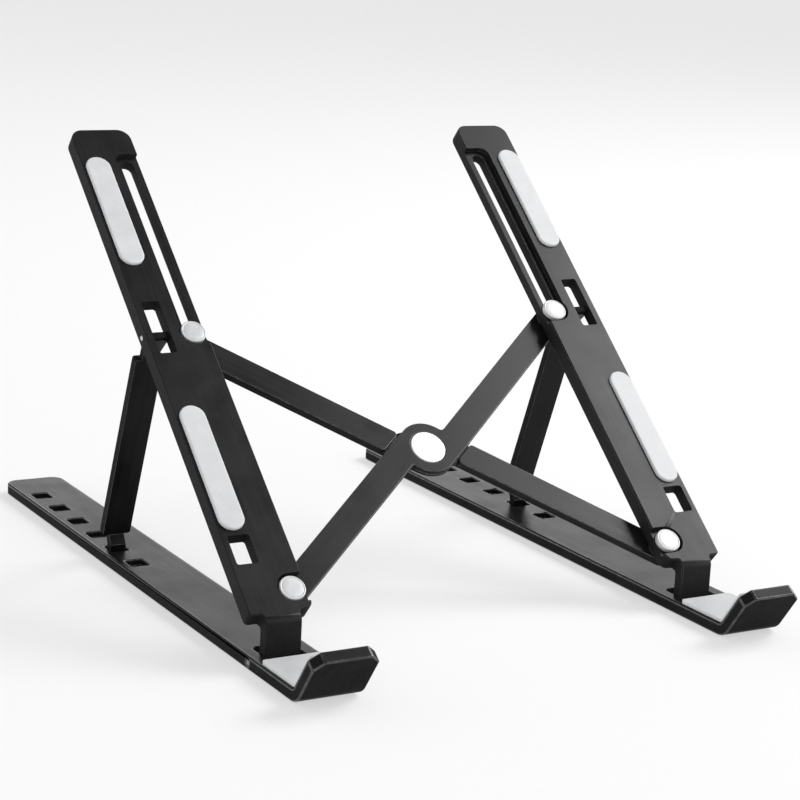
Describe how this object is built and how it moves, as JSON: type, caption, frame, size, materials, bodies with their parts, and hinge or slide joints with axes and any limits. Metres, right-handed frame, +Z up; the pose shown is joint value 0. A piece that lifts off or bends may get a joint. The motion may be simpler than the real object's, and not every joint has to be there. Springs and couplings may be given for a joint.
{
  "type": "folding laptop stand",
  "caption": "Folding laptop stand: hooked base bars, sloping padded rails held up by socketed props, and crossed scissor arms that join the sides.",
  "frame": {"origin": "on the table, midway between the two side units and midway between the hooks' tips and the base bars' back ends", "axes": "+X to the right seen from the hooks, +Y from the hooks to the back, +Z up"},
  "size_m": [0.185, 0.2634, 0.1508],
  "materials": {
    "black_aluminium": "satin black anodised",
    "grey_silicone": "matt light grey silicone",
    "foot_rubber": "matt black rubber",
    "steel": "turned steel, slightly dulled",
    "light_caps": "satin light grey",
    "bright_cap": "bright, nearly white",
    "nylon": "dark nylon"
  },
  "bodies": {
    "left_base": {"left_base_bar": "black_aluminium", "left_front_foot": "foot_rubber", "left_rear_foot": "foot_rubber", "left_hook_pad": "grey_silicone", "left_rail_hinge_pin": "steel"},
    "left_rail": {"left_rail": "black_aluminium", "left_lower_pad": "grey_silicone", "left_upper_pad": "grey_silicone", "left_prop_hinge_pin": "steel", "left_pivot_pin": "steel", "left_pivot_cap": "light_caps", "left_pivot_washer": "nylon"},
    "left_prop": {"left_prop": "black_aluminium"},
    "front_arm": {"scissor_arm_front": "black_aluminium", "right_slider_pin": "steel", "right_slider_cap": "light_caps", "right_slider_washer": "nylon", "center_pin": "steel", "center_cap": "bright_cap"},
    "back_arm": {"scissor_arm_back": "black_aluminium", "left_slider_pin": "steel", "left_slider_cap": "light_caps", "left_slider_washer": "nylon", "center_washer": "nylon"},
    "right_rail": {"right_rail": "black_aluminium", "right_lower_pad": "grey_silicone", "right_upper_pad": "grey_silicone", "right_prop_hinge_pin": "steel", "right_pivot_pin": "steel", "right_pivot_cap": "light_caps", "right_pivot_washer": "nylon"},
    "right_prop": {"right_prop": "black_aluminium"},
    "right_base": {"right_base_bar": "black_aluminium", "right_front_foot": "foot_rubber", "right_rear_foot": "foot_rubber", "right_hook_pad": "grey_silicone", "right_rail_hinge_pin": "steel"}
  },
  "joints": [
    {"name": "rail_tilt", "type": "hinge", "parent": "left_base", "child": "left_rail", "pos_m": [-0.0809, -0.0869, 0.0027], "axis": [1, 0, 0], "range_deg": [0, 45]},
    {"name": "left_prop_hinge", "type": "hinge", "parent": "left_rail", "child": "left_prop", "pos_m": [-0.086, 0.00077, 0.08872], "axis": [1, 0, 0], "range_deg": [-45.01, 0.01]},
    {"name": "scissor_fold", "type": "hinge", "parent": "left_rail", "child": "front_arm", "pos_m": [-0.074, -0.07568, 0.01746], "axis": [0, -0.6468, 0.7627], "range_deg": [0, 51.3]},
    {"name": "crossing_hinge", "type": "hinge", "parent": "front_arm", "child": "back_arm", "pos_m": [0, -0.03602, 0.05109], "axis": [0, -0.6468, 0.7627], "range_deg": [-102.61, 0.01]},
    {"name": "right_pivot_hinge", "type": "hinge", "parent": "back_arm", "child": "right_rail", "pos_m": [0.074, -0.07568, 0.01746], "axis": [0, -0.6468, 0.7627], "range_deg": [-0.01, 51.31]},
    {"name": "right_prop_hinge", "type": "hinge", "parent": "right_rail", "child": "right_prop", "pos_m": [0.086, 0.00077, 0.08872], "axis": [1, 0, 0], "range_deg": [-45.01, 0.01]},
    {"name": "right_rail_hinge", "type": "hinge", "parent": "right_rail", "child": "right_base", "pos_m": [0.0809, -0.0869, 0.0027], "axis": [1, 0, 0], "range_deg": [-45.01, 0.01]}
  ],
  "couplings": [
    {"joint": "left_prop_hinge", "follows": "rail_tilt", "ratio": -1},
    {"joint": "right_prop_hinge", "follows": "rail_tilt", "ratio": -1},
    {"joint": "right_rail_hinge", "follows": "rail_tilt", "ratio": -1},
    {"joint": "crossing_hinge", "follows": "scissor_fold", "ratio": -2},
    {"joint": "right_pivot_hinge", "follows": "scissor_fold", "ratio": 1}
  ]
}
